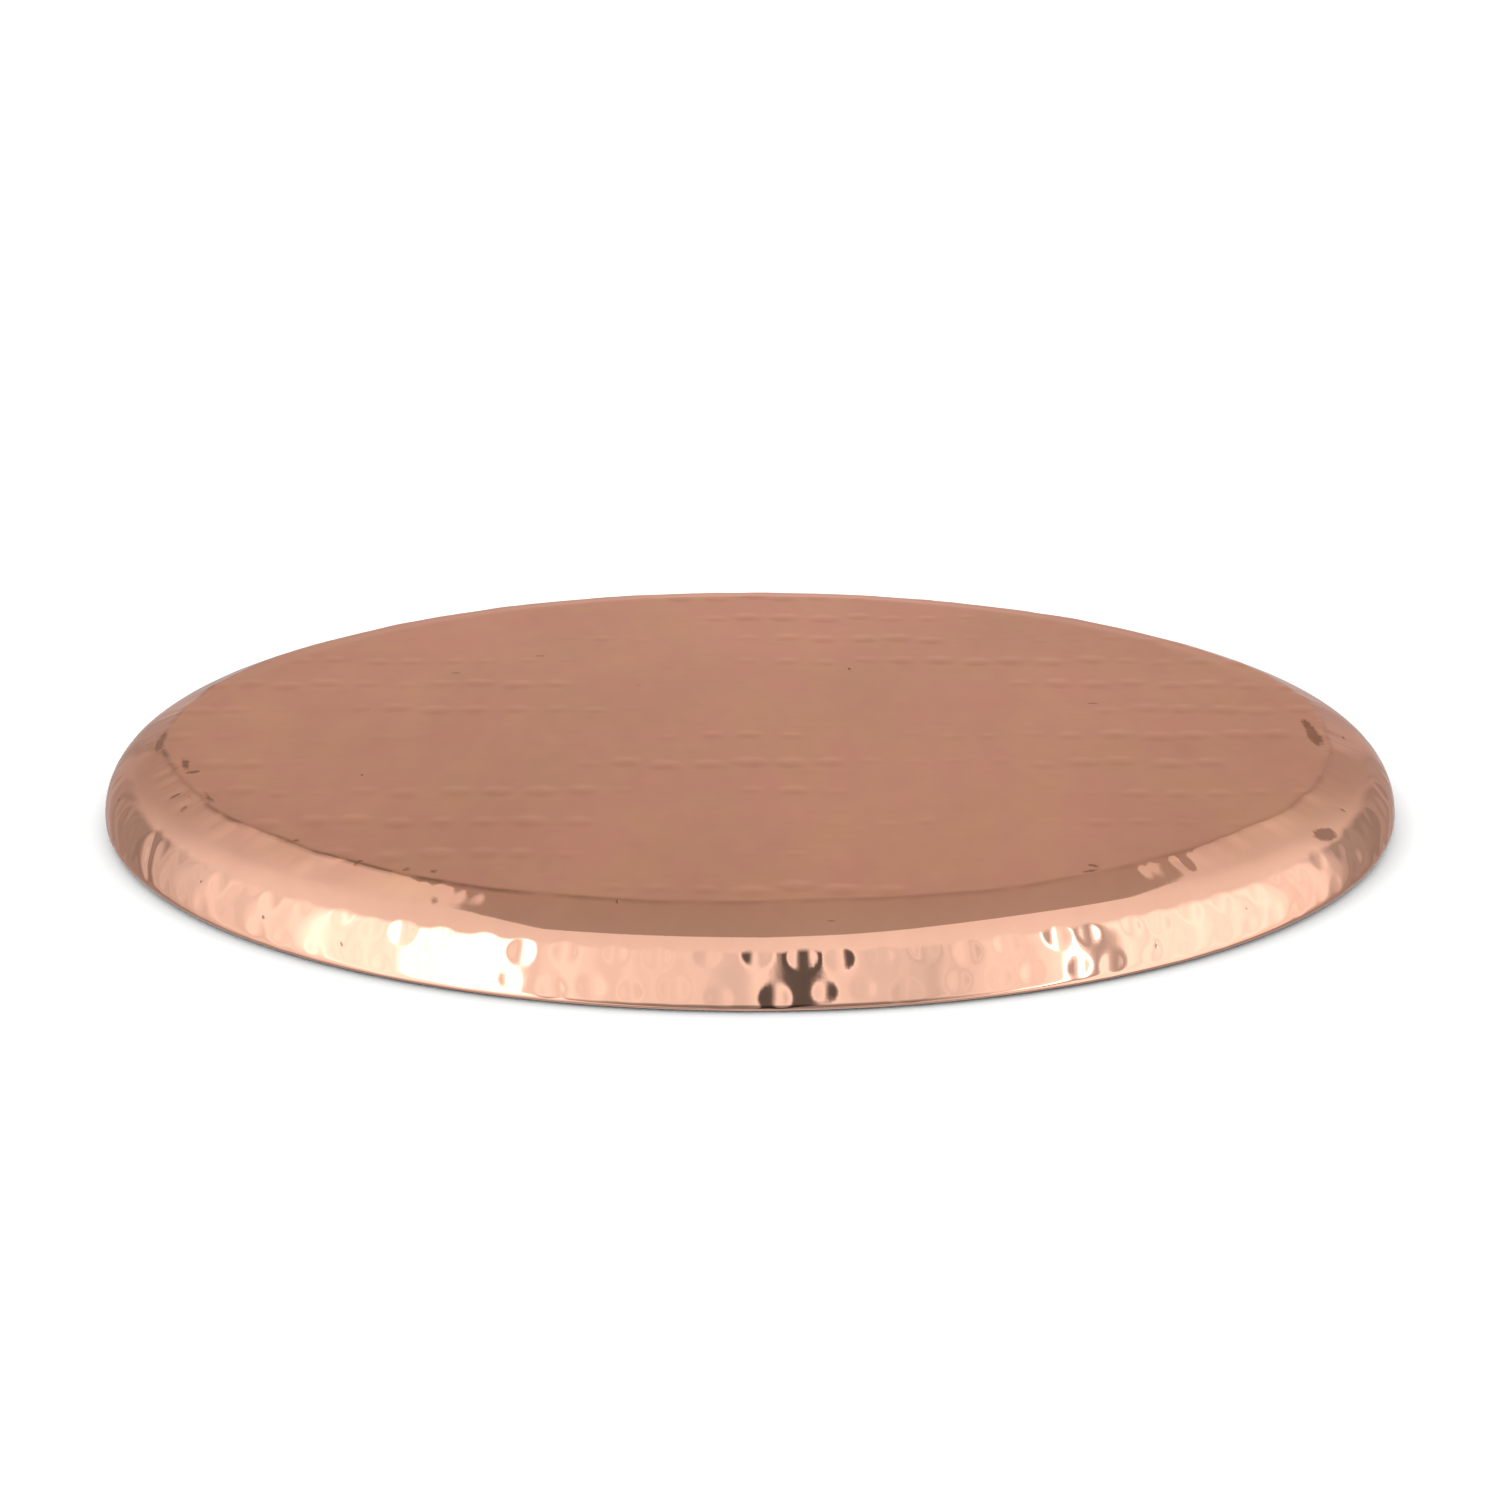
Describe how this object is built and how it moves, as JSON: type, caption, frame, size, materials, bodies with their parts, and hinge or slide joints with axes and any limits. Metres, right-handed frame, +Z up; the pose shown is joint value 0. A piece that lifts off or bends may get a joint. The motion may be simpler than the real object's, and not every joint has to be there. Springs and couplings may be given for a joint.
{
  "type": "tray",
  "caption": "Round hammered copper serving tray, shown base up: flat base, sloping shoulder, rounded wall with planishing dimples, and a rim rolled inwards round a wire.",
  "frame": {"origin": "centre of the circle on which the rolled rim rests, which is the middle of the bottom of the box", "axes": "+Z up along the tray's axis, out of the outside of its base (the tray lies base up); +X and +Y are level, and the tray is round, so they have no mark of their own"},
  "size_m": [0.4059, 0.406, 0.025],
  "materials": {
    "hammered_copper": "hand-planished copper sheet: satin and faintly tarnished on the base, bright and dimpled on the wall",
    "rim_wire_steel": "drawn mild-steel rod, dull grey, dulled by handling"
  },
  "bodies": {
    "root": {"tray_pan": "hammered_copper", "rim_wire": "rim_wire_steel"}
  },
  "joints": []
}
